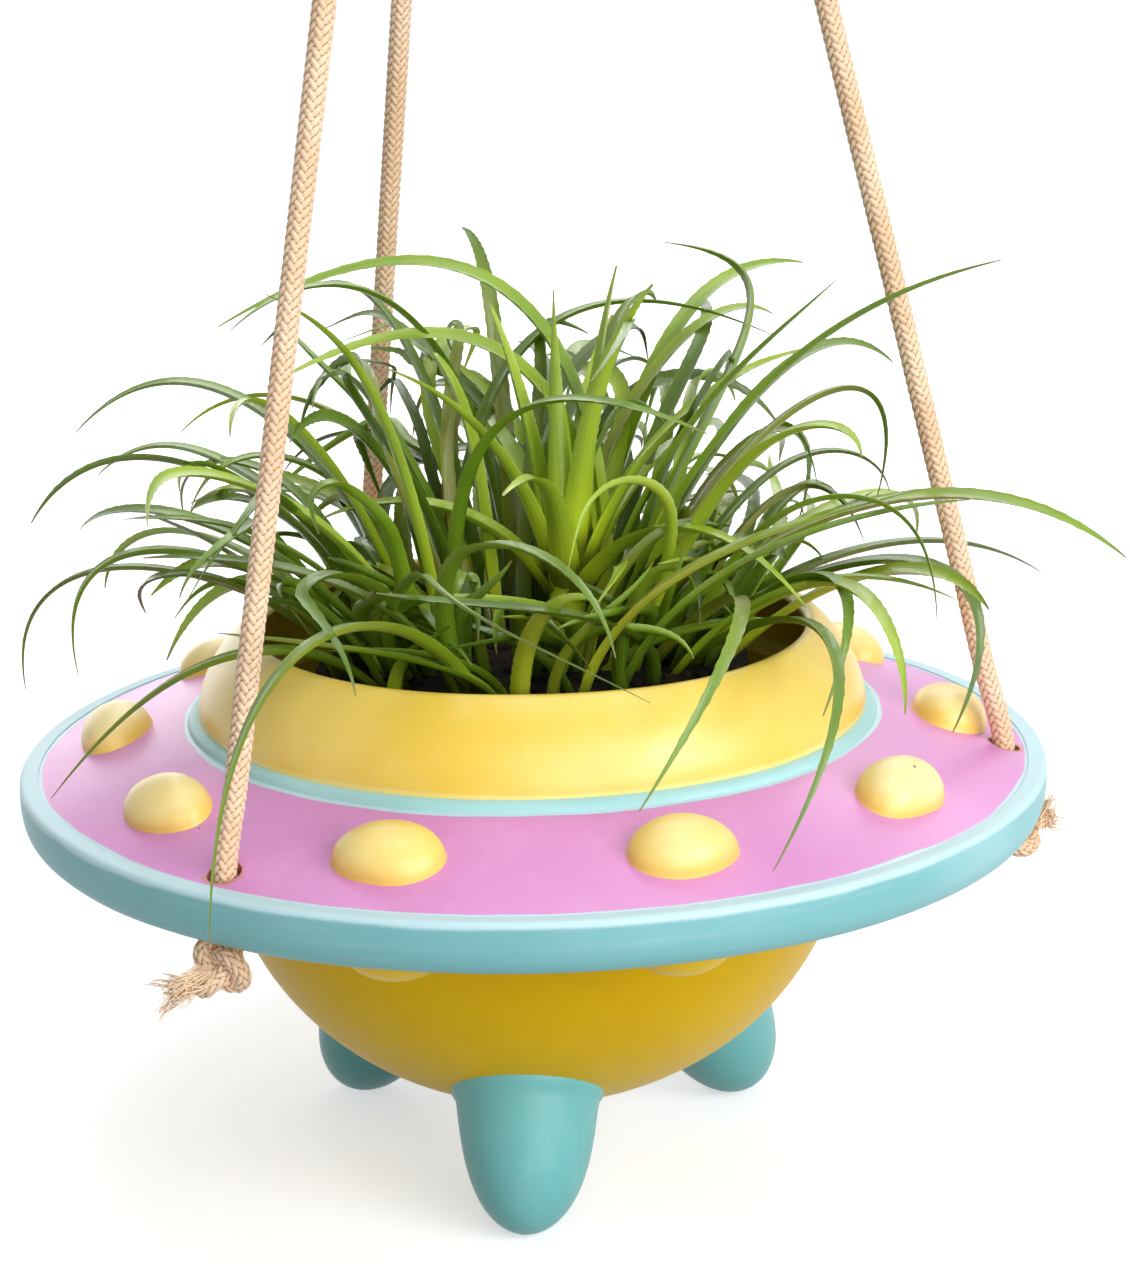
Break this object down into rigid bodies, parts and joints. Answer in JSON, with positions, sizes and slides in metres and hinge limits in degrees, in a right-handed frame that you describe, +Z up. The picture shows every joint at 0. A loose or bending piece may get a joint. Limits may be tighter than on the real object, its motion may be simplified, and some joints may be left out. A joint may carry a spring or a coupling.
{
  "type": "hanging planter",
  "caption": "Saucer-shaped hanging planter with domed lights on its brim, splayed feet, gathered ropes and a lift-out tuft of grassy leaves.",
  "frame": {"origin": "the point inside the top of the hanging ring where a hook bears", "axes": "+Z up along the hanging line, -Y towards the side that the picture shows, +X to its right"},
  "size_m": [0.23, 0.2231, 0.5568],
  "materials": {
    "yellow_paint": "satin painted resin",
    "pink_paint": "satin painted resin",
    "turquoise_paint": "satin painted resin, brushed by hand",
    "cotton_rope": "braided cotton",
    "steel": "plain wire ring",
    "potting_mix": "dark crumbly mix",
    "leaf": "waxy grass-like leaves"
  },
  "bodies": {
    "hanger": {"hanging_ring": "steel"},
    "planter": {"bowl": "yellow_paint", "brim_top": "pink_paint", "brim_underside": "yellow_paint", "rim_band": "turquoise_paint", "collar": "yellow_paint", "collar_bead": "turquoise_paint", "top_light_01": "yellow_paint", "top_light_02": "yellow_paint", "top_light_03": "yellow_paint", "top_light_04": "yellow_paint", "top_light_05": "yellow_paint", "top_light_06": "yellow_paint", "top_light_07": "yellow_paint", "top_light_08": "yellow_paint", "top_light_09": "yellow_paint", "top_light_10": "yellow_paint", "under_light_01": "yellow_paint", "under_light_02": "yellow_paint", "under_light_03": "yellow_paint", "under_light_04": "yellow_paint", "under_light_05": "yellow_paint", "under_light_06": "yellow_paint", "under_light_07": "yellow_paint", "under_light_08": "yellow_paint", "under_light_09": "yellow_paint", "under_light_10": "yellow_paint", "foot_1": "turquoise_paint", "foot_2": "turquoise_paint", "foot_3": "turquoise_paint", "rope_left": "cotton_rope", "rope_right": "cotton_rope", "rope_back": "cotton_rope", "stopper_knot_left": "cotton_rope", "stopper_knot_right": "cotton_rope", "stopper_knot_back": "cotton_rope", "frayed_end_left": "cotton_rope", "frayed_end_right": "cotton_rope", "frayed_end_back": "cotton_rope", "gather_wrap": "cotton_rope", "ring_loop_1": "cotton_rope", "ring_loop_2": "cotton_rope", "ring_loop_3": "cotton_rope"},
    "plant": {"root_plug": "potting_mix", "leaves_heart": "leaf", "leaves_right": "leaf", "leaves_back": "leaf", "leaves_left": "leaf", "leaves_front": "leaf"}
  },
  "joints": [
    {"name": "planter_swing", "type": "hinge", "parent": "hanger", "child": "planter", "pos_m": [0, 0, -0.0475], "axis": [1, 0, 0], "range_deg": [-20, 20]},
    {"name": "plant_lift", "type": "slide", "parent": "planter", "child": "plant", "axis": [0, 0, 1], "range_m": [0, 0.1]}
  ]
}
